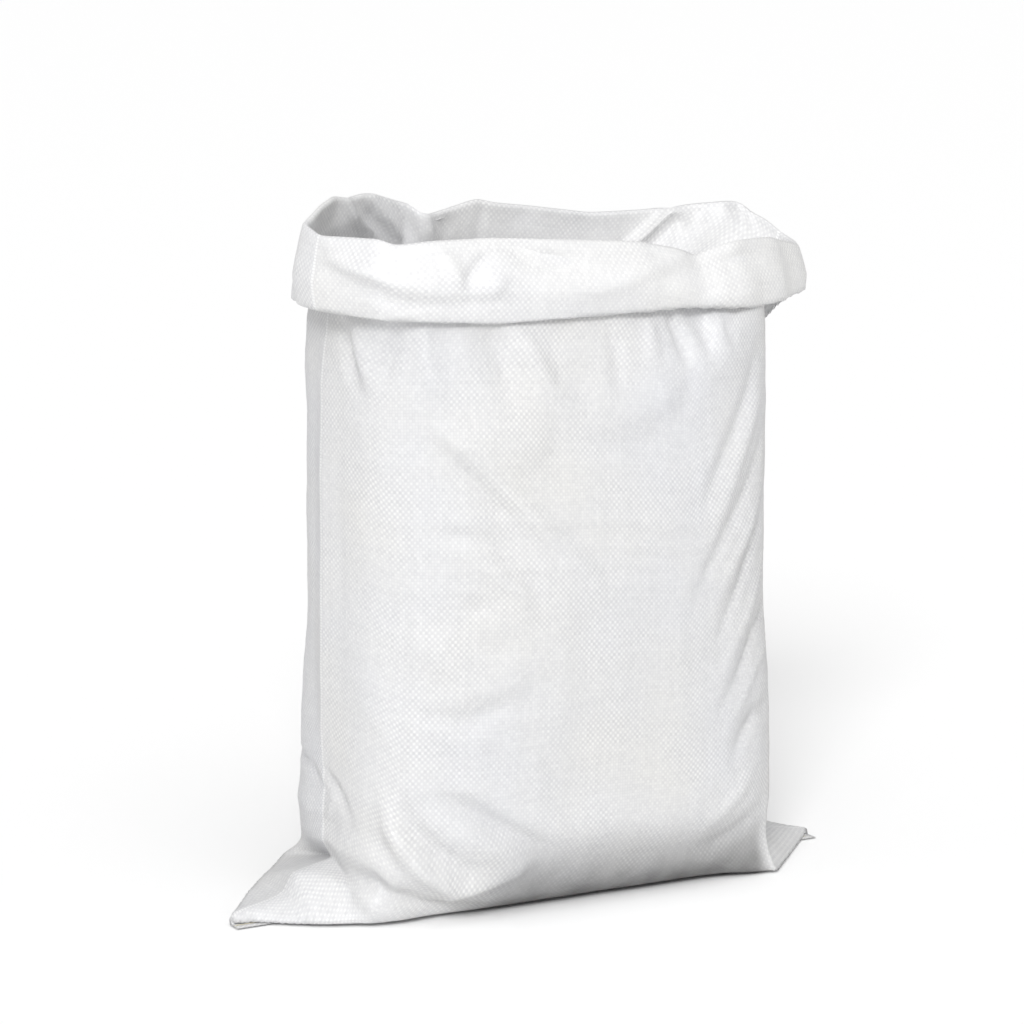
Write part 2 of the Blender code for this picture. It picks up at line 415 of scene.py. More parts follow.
def sharp_fold(around, along):
    """The place of a point of the cloth when the sack stands with every fold sharp."""
    around = around % AROUND
    front = around < LAY_FLAT
    flat_x = np.where(front, around - LAY_FLAT / 2, 1.5 * LAY_FLAT - around)
    side = np.where(front, -1.0, 1.0)
    left = flat_x < 0
    sign = np.where(left, -1.0, 1.0)
    past = np.maximum(np.abs(flat_x) - HALF_LENGTH, 0.0)

    # The base and the lower layers of the ears, with the lower layer lifted towards a raised fold
    reach = fold_depth(past, left, front)
    along_base = np.where(front, np.interp(flat_x, FRONT_FOOT_X, FRONT_FOOT_Y), BACK_FOOT_Y)
    reach = np.where(past > 0, reach, along_base)
    full = np.maximum(HALF_DEPTH - past, 1e-6)
    share = np.clip(along / full, 0.0, 1.0)
    end_share = ease((np.abs(flat_x) - FLAT_BASE_TO) / (HALF_LENGTH - FLAT_BASE_TO))
    rise = fold_rise(past, left, front) * end_share
    base = np.stack([flat_x, side * share * reach, UNDERSIDE + (rise - UNDERSIDE) * share ** 2], axis=-1)
    base[..., 2] = np.maximum(base[..., 2], UNDERSIDE)

    # At the back of the left ear the body bulges over the fold, which is drawn in under it
    side_spread = (HALF_DEPTH - past) / HALF_DEPTH
    drawn_in = DRAWN_IN * np.sin(math.pi * np.clip(side_spread, 0, 1) ** 0.8)
    drawn_in = np.where(left & ~front, drawn_in, 0.0)

    # The upper layers of the ears
    out = np.clip(HALF_DEPTH - along, 0.0, HALF_DEPTH)
    spread = np.clip((HALF_DEPTH - past) / np.maximum(HALF_DEPTH - out, 1e-6), 0.0, 1.0)
    crown = np.where(left, np.interp(out, EAR_OUT, EAR_TOP_LEFT), np.interp(out, EAR_OUT, EAR_TOP_RIGHT))
    edge = fold_rise(out, left, front)
    fading = (1 - out / HALF_DEPTH) ** 3
    ear_x = sign * (HALF_LENGTH + out - drawn_in * fading)
    ear_y = side * spread * fold_depth(out, left, front)
    ear_z = edge + (crown - edge) * (1 - spread ** CROWN_POWER) - DRAWN_DOWN * drawn_in * fading
    ear = np.stack([ear_x, ear_y, ear_z], axis=-1)

    # The wall, which starts from the foot and swings out to the lofted outline
    foot_edge = np.stack([flat_x, side * reach, rise], axis=-1)
    side_crown = np.where(left, EAR_TOP_LEFT[0], EAR_TOP_RIGHT[0])
    side_edge = fold_rise(0 * past, left, front)
    side_x = sign * (HALF_LENGTH + 1.5 * MM - drawn_in)
    side_y = side * (HALF_DEPTH - past) / HALF_DEPTH * fold_depth(0 * past, left, front)
    side_z = side_edge + (side_crown - side_edge) * (1 - side_spread ** CROWN_POWER) - DRAWN_DOWN * drawn_in
    foot_side = np.stack([side_x, side_y, side_z], axis=-1)
    foot = np.where((past > 0)[..., None], foot_side, foot_edge)
    top = rim_height(around) - ROLL
    climb = (along - HALF_DEPTH) / WALL_LENGTH
    height = climb * top + foot[..., 2] * np.clip(1 - climb, 0.0, 1.0) ** 2.0
    wall_x, wall_y = wall_point(around, np.clip(height, 0.0, OUTLINE_TOP))
    to_rim = ease(1 - (top - height) / rim_reach(around))
    wall_x = wall_x + (rim_x(around) - wall_x) * to_rim
    wall_y = wall_y + (rim_y(around) - wall_y) * to_rim
    bulge = np.where(left & ~front, BULGE_BACK_LEFT, np.where(front, BULGE_FRONT, BULGE_BACK))
    swing = 1 - (1 - np.clip((height - foot[..., 2]) / bulge, 0.0, 1.0)) ** np.where(front, 3.0, 2.2)
    wall = np.stack([foot[..., 0] + (wall_x - foot[..., 0]) * swing,
                     foot[..., 1] + (wall_y - foot[..., 1]) * swing, height], axis=-1)

    turned = (past + along) > HALF_DEPTH
    below = np.where((turned & (past > 0))[..., None], ear, base)
    return np.where((along > HALF_DEPTH)[..., None], wall, below)


# %% [markdown]
# ## Rounding the folds
# Cloth can't fold to a sharp edge. Each point takes a weighted mean of the sharp map around it, over a
# longer stretch of cloth where the fold is round, as along the edge of the base, and a shorter one on the
# pressed ears.

# %% Round the folds
ROUND_STEPS = np.linspace(-1.0, 1.0, 11)
ROUND_WEIGHTS = np.exp(-(ROUND_STEPS * 1.7) ** 2)
ROUND_WEIGHTS /= ROUND_WEIGHTS.sum()
PRESSED_ROUND = 4 * MM
BASE_ROUND = 38 * MM  # added along the edge of the base
LOBE_ROUND = 16 * MM  # added at the slumped lobe at the front left
LOBE_FROM, LOBE_TO = 120 * MM, 228 * MM


def round_length(around, along):
    """Half the length of cloth over which a fold is rounded: long along the base, short on the ears."""
    around = around % AROUND
    front = around < LAY_FLAT
    flat_x = np.where(front, around - LAY_FLAT / 2, 1.5 * LAY_FLAT - around)
    near_edge = ease(1 - np.abs(along - HALF_DEPTH) / (60 * MM))
    middle = ease((HALF_LENGTH + 4 * MM - np.abs(flat_x)) / (70 * MM))
    lobe = ease((-flat_x - LOBE_FROM) / (60 * MM)) * ease((LOBE_TO + flat_x) / (30 * MM))
    lobe = np.where(front, lobe, 0.0)
    return PRESSED_ROUND + (BASE_ROUND * middle + LOBE_ROUND * lobe * (1 - middle)) * near_edge


def standing_cloth(around, along):
    """The place of a point of the cloth when the sack stands with its folds rounded."""
    length = round_length(around, along)
    total = 0.0
    for step, weight in zip(ROUND_STEPS, ROUND_WEIGHTS):
        for slip in (-0.5, 0.5):
            beside = around + slip * length * 0.5
            total = total + 0.5 * weight * sharp_fold(beside, np.abs(along + step * length))
    return total


# %% [markdown]
# ## The cuff
# The mouth is turned down over itself: the cloth rolls over the rim, hangs outside the body, and its edge is
# tucked up behind. Each point above the wall is placed by how far it is past the top of the wall. The cuff
# stands clear of the wall, so its cloth is drawn wider than the tube is round.

# %% Lay the cuff
EDGE_ROLL = 1.4 * MM
FULLEST = 0.62  # share of the way down at which the cuff stands out most
BESIDE = 22 * MM  # on both sides, for the direction that the rim runs in
LEAST_HANG = 10 * MM
EDGE_CLEARANCE = 2.5 * MM  # of the cuff's edge from a wall that bulges past the rim
MIDDLE_CLEARANCE = 3 * MM
TUCK_LEAN = 0.3 * ROLL  # how far the tucked edge leans in, where it ends
BELOW_RIM = 4 * MM  # how far below the rim the tucked edge has to stop


def with_cuff(around, along):
    """The standing cloth, with the part above the wall rolled over the rim and hung outside."""
    at_top = np.full_like(along, WALL_TOP)
    place = standing_cloth(around, np.minimum(along, WALL_TOP))
    past = np.maximum(along - WALL_TOP, 0.0)
    tangent = standing_cloth(around + BESIDE, at_top) - standing_cloth(around - BESIDE, at_top)
    outward = np.stack([tangent[..., 1], -tangent[..., 0], 0 * tangent[..., 0]], axis=-1)
    outward /= np.linalg.norm(outward, axis=-1, keepdims=True)

    # Over the rim, down to the edge, round it, and up again behind
    roll_length = math.pi * ROLL
    hang = np.maximum(rim_height(around) - ROLL - cuff_edge(around) - EDGE_ROLL, LEAST_HANG)
    tuck_length = math.pi * EDGE_ROLL
    turn = np.clip(past / roll_length, 0, 1) * math.pi
    drop = np.clip(past - roll_length, 0, hang)
    share = drop / hang
    tuck = np.clip((past - roll_length - hang) / tuck_length, 0, 1) * math.pi
    back_up = np.maximum(past - roll_length - hang - tuck_length, 0.0)
    inner = np.clip(back_up / hang, 0, 1)
    level = np.where(back_up > 0, 1 - inner, share)

    # How far it stands out, which is more where the wall behind it bulges past the rim
    behind_edge = HALF_DEPTH + WALL_LENGTH * cuff_edge(around) / (rim_height(around) - ROLL)
    rim = standing_cloth(around, at_top)
    bulging = np.sum((standing_cloth(around, behind_edge) - rim) * outward, axis=-1)
    foot = np.maximum(cuff_foot(around), bulging + EDGE_CLEARANCE)
    middle = np.maximum(cuff_middle(around), 0.5 * foot + MIDDLE_CLEARANCE)
    tent = 1 - np.where(level < FULLEST, 1 - level / FULLEST, (level - FULLEST) / (1 - FULLEST)) ** 1.3
    stand = foot * level + (middle - foot / 2) * tent
    offset = ROLL * (1 - np.cos(turn)) + stand - EDGE_ROLL * (1 - np.cos(tuck)) - TUCK_LEAN * inner
    lift = ROLL * np.sin(turn) - drop - EDGE_ROLL * np.sin(tuck) + np.minimum(back_up, hang - BELOW_RIM)
    offset = np.where(past > 0, offset, 0.0)
    lift = np.where(past > 0, lift, 0.0)
    return place + outward * offset[..., None] + np.array([0, 0, 1.0]) * lift[..., None]


def lay_hem(place, around, along):
    """Folds what is below the seam flat under the base, towards the front."""
    front = (around % AROUND) < LAY_FLAT
    below = np.clip(-along, 0.0, HEM)
    level = np.where(below > HEM - 0.1 * MM, 1.4 * MM, np.where(front, 1.7 * MM, 1.1 * MM))
    under = np.stack([place[..., 0], -below, level + 0 * below], axis=-1)
    return np.where((along < 0)[..., None], under, place)


around_grid, along_grid = np.meshgrid(ROUNDS, RINGS)
grid = with_cuff(around_grid, np.maximum(along_grid, 0.0))
print("standing cloth is", round(np.ptp(grid[..., 0]), 3), "by", round(np.ptp(grid[..., 1]), 3), "m")

# %% [markdown]
# ## Folds
# A standing woven sack has few folds, but each has a reason: pleats hang from the tight rim, the slack of the
# side makes a fan, and above the base the cloth slumps. Each fold is one line on the cloth, with a height, a
# width on either side and a sharpness: a creased fold is a tent, and a soft one a wave. The lines are in
# millimetres round and along the cloth, so they stay in the cloth when it is shaped. Those of the front, the
# cuff and the mouth were picked in the photograph as points, and turned into such millimetres beforehand,
# with the camera's view. Some were then moved. Heights, widths and sharpness are guesses.

# %% Fold lines
# Height outwards, width to the left of the line, width to the right, sharpness, points
WALL_FOLDS = (
    # Pleats that hang from under the cuff
    (-4.4, 8, 8, 0.7, ((22, 560), (35, 538), (48, 511))),
    (3.2, 8, 8, 0.7, ((38, 560), (50, 540), (64, 514))),
    (-4.2, 9, 8, 0.6, ((78, 565), (78, 547), (73, 522))),
    (3.4, 9, 8, 0.7, ((98, 563), (109, 535), (121, 505))),
    (2.0, 5, 5, 0.9, ((129, 561), (134, 552), (140, 543))),
    (-3.6, 10, 14, 0.4, ((148, 562), (168, 542), (186, 509))),
    (3.0, 7, 9, 0.8, ((175, 562), (193, 546), (217, 519), (240, 500))),
    (-1.6, 7, 7, 0.5, ((263, 567), (279, 538), (286, 507))),
    (2.8, 7, 6, 0.8, ((301, 573), (308, 557), (316, 539))),
    (-3.0, 5, 6, 0.8, ((323, 578), (338, 559), (350, 542))),
    (2.2, 6, 6, 0.8, ((338, 579), (352, 560), (365, 541))),
    (-2.8, 5, 6, 0.8, ((358, 578), (372, 552), (387, 535))),
    (1.8, 6, 6, 0.8, ((378, 572), (392, 551), (405, 539))),
    # Puffs that end in a swag
    (3.2, 44, 16, 0.3, ((126, 482), (154, 470), (183, 468), (202, 476), (209, 497), (208, 519))),
    (3.4, 40, 16, 0.3, ((212, 517), (242, 497), (275, 491), (304, 497), (326, 512), (349, 534), (374, 536),
        (405, 533), (436, 545))),
    # The long slanting folds in the middle
    (2.8, 10, 7, 0.8, ((123, 482), (146, 464), (173, 441), (199, 418), (225, 393), (252, 367), (271, 350))),
    (-2.8, 7, 11, 0.6, ((118, 471), (142, 449), (161, 431), (183, 410), (201, 393))),
    (-2.2, 8, 8, 0.5, ((116, 406), (145, 401), (171, 395), (198, 390), (227, 391))),
    (-2.6, 6, 8, 0.7, ((161, 395), (180, 383), (197, 369), (212, 357))),
    (2.2, 8, 8, 0.7, ((145, 386), (166, 374), (185, 359), (198, 348))),
    (-1.8, 8, 9, 0.5, ((169, 352), (154, 347), (138, 347))),
    # Slack of the middle
    (2.0, 16, 12, 0.4, ((90, 318), (112, 312), (139, 293))),
    (-2.0, 9, 9, 0.5, ((90, 272), (114, 262), (144, 257), (173, 267), (201, 272))),
    (1.6, 12, 10, 0.4, ((127, 275), (155, 282), (200, 291))),
    (-1.4, 9, 9, 0.4, ((145, 321), (171, 313), (189, 320))),
    (-1.8, 8, 9, 0.5, ((110, 245), (134, 226), (150, 203))),
    (1.8, 9, 12, 0.5, ((148, 247), (175, 240), (203, 223), (221, 197))),
    # Fan on the right side
    (-3.0, 6, 10, 0.6, ((448, 540), (433, 503), (408, 468), (385, 438), (369, 416))),
    (2.4, 6, 8, 0.6, ((455, 505), (428, 466), (403, 427), (377, 390))),
    (-3.2, 5, 8, 0.7, ((462, 470), (436, 433), (406, 399), (378, 368), (365, 346))),
    (2.4, 5, 6, 0.7, ((464, 438), (436, 398), (403, 361), (380, 330))),
    (-3.2, 5, 6, 0.7, ((466, 407), (436, 373), (407, 335), (386, 305))),
    (2.2, 5, 6, 0.7, ((471, 370), (444, 338), (412, 304), (389, 271))),
    (-3.0, 4, 6, 0.7, ((481, 331), (438, 305), (415, 273), (389, 244))),
    (2.0, 4, 5, 0.7, ((476, 302), (438, 273), (416, 246), (395, 222))),
    (-3.6, 5, 7, 0.8, ((465, 238), (438, 236), (421, 222), (408, 203))),
    # The two creases where the flat tube was pressed, and the crease where it was packed in half
    (3.6, 17, 17, 1.0, ((0, 170), (0, 300), (1, 560))),
    (3.6, 17, 17, 1.0, ((550, 150), (550, 300), (549, 560))),
    (-1.0, 5, 5, 0.9, ((96, 404), (180, 401), (262, 402), (352, 398), (450, 404))),
    (-1.0, 5, 5, 0.9, ((640, 402), (760, 398), (900, 401), (1030, 399))),
    # Slumped folds above the base
    (-6.5, 8, 14, 0.7, ((125, 198), (148, 190), (176, 174), (206, 156), (229, 145))),
    (3.4, 14, 18, 0.4, ((135, 179), (161, 162), (195, 143), (223, 135))),
    (8.5, 13, 8, 0.7, ((79, 183), (84, 166), (95, 156), (116, 139), (147, 121), (170, 124), (198, 131))),
    (-4.0, 8, 8, 0.6, ((92, 196), (102, 177), (121, 157), (144, 143))),
    (4.0, 12, 14, 0.6, ((1062, 111), (1127, 114), (1169, 133), (1200, 137), (1225, 124))),
    (-7.0, 7, 12, 0.9, ((56, 105), (80, 120), (105, 117), (144, 102), (175, 100))),
    (3.0, 8, 8, 0.7, ((7, 65), (26, 74), (60, 93), (94, 111), (132, 103))),
    (-3.0, 5, 5, 0.8, ((1027, 188), (1074, 179), (1104, 157))),
    (-3.4, 5, 7, 0.8, ((1, 176), (21, 168), (40, 154))),
    (1.8, 5, 5, 0.7, ((18, 160), (10, 141), (-1, 123))),
    (1.8, 12, 10, 0.4, ((1026, 148), (1076, 140), (1110, 136))),
    (-2.6, 7, 9, 0.6, ((453, 156), (425, 140), (396, 127), (372, 126))),
    (2.2, 7, 8, 0.6, ((437, 194), (413, 171), (383, 147))),
    # The back, which the photo doesn't show, is given the same kinds of fold
    (-3.0, 7, 8, 0.7, ((640, 560), (655, 530), (676, 500))),
    (2.4, 7, 7, 0.7, ((690, 568), (700, 545), (716, 518))),
    (-3.0, 9, 12, 0.4, ((780, 565), (768, 535), (745, 500))),
    (2.6, 8, 8, 0.7, ((860, 568), (850, 540), (836, 512))),
    (-2.8, 7, 7, 0.7, ((925, 566), (917, 540), (900, 510))),
    (3.0, 16, 36, 0.3, ((700, 500), (750, 478), (810, 470), (870, 482), (900, 505))),
    (2.8, 10, 8, 0.7, ((930, 450), (890, 415), (850, 375), (822, 345))),
    (-2.6, 9, 9, 0.5, ((700, 430), (735, 395), (775, 370), (815, 358))),
    (-2.2, 9, 9, 0.5, ((840, 300), (880, 285), (930, 290), (970, 305))),
    (1.8, 12, 10, 0.4, ((700, 300), (745, 285), (800, 292))),
    (-5.0, 14, 8, 0.6, ((790, 160), (830, 172), (870, 182), (905, 186))),
    (4.5, 12, 14, 0.6, ((700, 128), (760, 122), (820, 136), (860, 146))),
    (-2.8, 6, 8, 0.7, ((1000, 470), (985, 430), (960, 390), (948, 360))),
    (2.2, 6, 8, 0.7, ((1012, 430), (994, 392), (972, 355), (955, 325))),
    (-2.6, 6, 8, 0.7, ((610, 330), (640, 300), (668, 270))),
    (2.0, 6, 7, 0.7, ((612, 300), (640, 270), (670, 238))),
    # Pleats inside the mouth, where a ridge towards the eye goes inwards
    (-3.5, 14, 11, 0.5, ((901, 636), (897, 625), (892, 619), (885, 605), (880, 590))),
    (2.0, 9, 9, 0.5, ((882, 635), (880, 625), (870, 615), (862, 602))),
    (3, 4, 4, 0.9, ((829, 634), (830, 616), (832, 600), (831, 585))),
    (-3.5, 6, 6, 0.8, ((994, 634), (976, 615), (953, 602), (930, 590))),
    (4.5, 6, 6, 0.7, ((981, 630), (962, 613), (934, 602), (915, 592))),
    (-4, 6, 6, 0.8, ((952, 630), (937, 617), (925, 607), (910, 594))),
    (3, 5, 5, 0.8, ((921, 630), (913, 619), (908, 609), (908, 596))),
    (3, 10, 10, 0.4, ((1036, 617), (1010, 616), (990, 622))),
    (-8.0, 6, 10, 0.8, ((648, 630), (660, 616), (668, 609), (684, 596))),
    (-5.5, 6, 6, 0.8, ((655, 626), (642, 619), (636, 608))),
    (4, 5, 5, 0.7, ((626, 620), (622, 607), (622, 595))),
    (6, 7, 7, 0.6, ((606, 610), (615, 598), (625, 585))),
    (-5, 6, 6, 0.8, ((600, 632), (588, 620), (574, 606))),
    (3.5, 5, 5, 0.7, ((610, 628), (600, 612), (600, 596))),
    (1.2, 14, 14, 0.3, ((812, 621), (774, 619), (735, 616), (697, 611))),
)
CUFF_FOLDS = (
    # The ridges that run down from the left corner of the rim
    (3.2, 7, 16, 0.8, ((9, 634), (18, 644), (34, 652), (59, 658), (79, 662), (98, 672), (115, 675))),
    (1.6, 4, 6, 0.8, ((8, 648), (42, 654), (75, 659))),
    (-2.2, 6, 8, 0.5, ((19, 669), (68, 672), (117, 679), (162, 677))),
    # The pinch in the middle, and the hollow beside it
    (3.4, 6, 5, 0.9, ((108, 639), (113, 649), (117, 658), (117, 667))),
    (-2.6, 5, 5, 0.7, ((147, 643), (135, 650), (129, 658), (120, 666))),
    (3.0, 12, 12, 0.5, ((141, 658), (146, 664), (154, 669))),
    (-4.0, 9, 9, 0.4, ((162, 638), (176, 644), (191, 648), (210, 648), (223, 648))),
    (-1.8, 5, 5, 0.6, ((76, 630), (106, 632), (152, 634), (180, 636))),
    # The right part
    (2.8, 10, 8, 0.8, ((341, 629), (295, 648), (258, 661), (224, 667))),
    (-2.2, 9, 9, 0.4, ((357, 638), (379, 645), (412, 646))),
    (1.8, 6, 6, 0.6, ((294, 665), (326, 666), (354, 666), (380, 672), (416, 670))),
)


FOLD_GAIN = 1.55  # raises every fold until it shades as strongly as in the photograph
CUFF_FOLD_GAIN = 1.15  # and the cuff's folds once more


def fold_line(around, along, height, left_width, right_width, sharpness, points):
    """How far one fold lifts each point of the cloth."""
    points = np.array(points, float) * MM
    middle = points[:, 0].mean()
    here = np.stack([middle + (around - middle + LAY_FLAT) % AROUND - LAY_FLAT, along], axis=-1)
    steps = np.diff(points, axis=0)
    lengths = np.linalg.norm(steps, axis=1)
    run = np.concatenate([[0.0], np.cumsum(lengths)])
    nearest = np.full(around.shape, 1e9)
    signed, walked = np.zeros(around.shape), np.zeros(around.shape)
    for start, step, length, before in zip(points, steps, lengths, run):
        share = np.clip(((here - start) @ step) / length ** 2, 0.0, 1.0)
        gap = here - start - share[..., None] * step
        distance = np.hypot(gap[..., 0], gap[..., 1])
        side = np.sign(step[0] * gap[..., 1] - step[1] * gap[..., 0])
        closer = distance < nearest
        nearest = np.where(closer, distance, nearest)
        signed = np.where(closer, side, signed)
        walked = np.where(closer, before + share * length, walked)
    width = np.where(signed > 0, left_width, right_width) * MM
    reach = np.clip(1 - nearest / (1.5 * width), 0.0, 1.0)
    shape = sharpness * reach ** 1.25 + (1 - sharpness) * ease(reach)
    fade = np.sin(math.pi * np.clip(walked / run[-1], 0.03, 0.97)) ** 0.55
    return height * MM * shape * fade


def fold_height(around, along, folds):
    return FOLD_GAIN * sum(fold_line(around, along, *fold) for fold in folds)


def outward_of(grid):
    """The direction square to the cloth at each point of the grid."""
    across = np.roll(grid, -1, axis=1) - np.roll(grid, 1, axis=1)
    up = np.gradient(grid, axis=0)
    normal = np.cross(across, up)
    return normal / (np.linalg.norm(normal, axis=-1, keepdims=True) + 1e-12)


def crumple_height(around, along):
    """Small crumples left from handling, worked out in the round, so that they meet at the side."""
    radius = AROUND / (2 * math.pi)
    turn = around / radius
    places = np.stack([radius * np.cos(turn), radius * np.sin(turn), 0.75 * along], axis=-1).reshape(-1, 3)
    large = np.array([abs(noise.noise(Vector(p * 21.0))) for p in places])
    small = np.array([abs(noise.noise(Vector(p * 58.0 + 9.0))) for p in places])
    height = (0.35 - large) * 2.0 * MM + (0.3 - small) * 0.7 * MM
    keep = 0.35 + 0.65 * ease((along - 0.10) / 0.05)
    return height.reshape(around.shape) * keep


# %% [markdown]
# ## Put the folds on the cloth
# The wall's folds run on over the rim, and fade down the cuff, which has folds of its own. Behind the cuff, a
# fold may lift the wall only as far as the cuff leaves room. On the wall a fold moves the cloth square to
# itself, and on the cuff it moves it straight out from the wall.

# %% Put the folds on the cloth
BEHIND_CUFF = 62 * MM  # how far below the rim the wall's folds are limited
ROOM = 2.0 * MM
FADE_FROM, FADE_OVER = 14 * MM, 45 * MM
KEPT_ON_CUFF = 0.25  # what is left there of the wall's folds
TUCK_FROM = 700 * MM  # along the cloth, where the cuff's folds fade towards its edge
SMOOTH_FROM = 685 * MM  # and where the crumples do


def past_point(where, over):
    """0 before a distance along the cloth, and 1 from a stretch beyond it."""
    return ease((along_grid - where) / over)


heights = fold_height(around_grid, np.minimum(along_grid, WALL_TOP), WALL_FOLDS)
pressed = np.where(heights > 0, ROOM * np.tanh(heights / ROOM), heights)
heights = heights + (pressed - heights) * past_point(WALL_TOP - BEHIND_CUFF, 10 * MM)
cuff_heights = CUFF_FOLD_GAIN * fold_height(around_grid, along_grid, CUFF_FOLDS)
normals = outward_of(grid)
wall_row = int(np.searchsorted(RINGS, WALL_TOP)) - 3
flat_outward = normals[wall_row] * np.array([1, 1, 0])
flat_outward /= np.linalg.norm(flat_outward, axis=-1, keepdims=True)
on_cuff = past_point(WALL_TOP - 6 * MM, 10 * MM)[..., None]
direction = normals * (1 - on_cuff) + flat_outward[None] * on_cuff
carry = 1 - (1 - KEPT_ON_CUFF) * past_point(WALL_TOP + FADE_FROM, FADE_OVER)
tucked = 1 - past_point(TUCK_FROM, 20 * MM)
crumple = crumple_height(around_grid, along_grid) * (1 - 0.8 * past_point(SMOOTH_FROM, 15 * MM))
grid = grid + direction * (heights * carry + cuff_heights * tucked + crumple)[..., None]
grid = lay_hem(grid, around_grid, along_grid)
grid[..., 0] += SHIFT_X
print("folds lift the cloth from", round(heights.min() / MM, 1), "to", round(heights.max() / MM, 1), "mm")


def move_points(piece, grid):
    piece.data.vertices.foreach_set("co", grid[ring_of, column_of].ravel())
    piece.data.update()


move_points(sack, grid)
print("cloth spans", grid.reshape(-1, 3).min(0).round(3), grid.reshape(-1, 3).max(0).round(3))

# %% [markdown]
# ## Close the hem and give the cloth its thickness
# At the fold of the hem the two layers are one cloth, so their points are merged there. The normals are set
# to face outwards while the cloth is still a single skin, and only then does Solidify give it a second side.

# %% Finish the mesh
def finish_cloth(piece):
    bpy.ops.object.select_all(action="DESELECT")
    piece.select_set(True)
    bpy.context.view_layer.objects.active = piece
    bpy.ops.object.mode_set(mode="EDIT")
    bpy.ops.mesh.select_mode(type="VERT")
    bpy.ops.mesh.select_all(action="DESELECT")
    bpy.ops.object.mode_set(mode="OBJECT")
    for vertex, ring in zip(piece.data.vertices, ring_of):
        vertex.select = bool(ring == 0)
    bpy.ops.object.mode_set(mode="EDIT")
    bpy.ops.mesh.remove_doubles(threshold=0.02 * MM)
    bpy.ops.mesh.select_all(action="SELECT")
    bpy.ops.mesh.normals_make_consistent(inside=False)
    bpy.ops.object.mode_set(mode="OBJECT")
    bpy.ops.object.shade_smooth()
    wall = piece.modifiers.new("thickness", "SOLIDIFY")
    wall.thickness = CLOTH
    wall.offset = 0.0
    bpy.ops.object.modifier_apply(modifier=wall.name)


finish_cloth(sack)
print("cloth has", len(sack.data.polygons) * 2, "triangles")

# %% [markdown]
# ## The woven cloth's finish
# Woven polypropylene is film slit into flat tapes, stretched, and woven over and under. The tapes are milky
# white with a satin gloss, and each one lies crowned between the two that cross it. The pattern is drawn on
# the cloth's own coordinates, one tape to 2.4 mm, or about 10.6 tapes to the inch. Where the flat tube was
# pressed, the tapes are stretched white along its two side creases.

# %% Woven polypropylene
WEAVE_RELIEF = 0.035 * MM
ONE_LAYER_TO, BACKED_FROM = 555 * MM, 600 * MM  # along the cloth: the wall, then the mouth and the cuff
LIGHT_THROUGH_ONE, LIGHT_THROUGH_BACKED = 0.34, 0.17
PAINTED_SHADE_TO, PAINTED_SHADE_FULL_AT = 166 * MM, 84 * MM  # along the cloth, from the top of the band of painted shade down
EAR_WIDTH, EAR_CLEAR = 88 * MM, 108 * MM  # from a side crease, where the painted shade starts
LOBE_END, LOBE_CLEAR = 150 * MM, 220 * MM  # round the tube, where it starts past the slumped lobe
CREASE, CREASE_EDGE = 0.8 * MM, 1.8 * MM  # half the width of a pressed crease


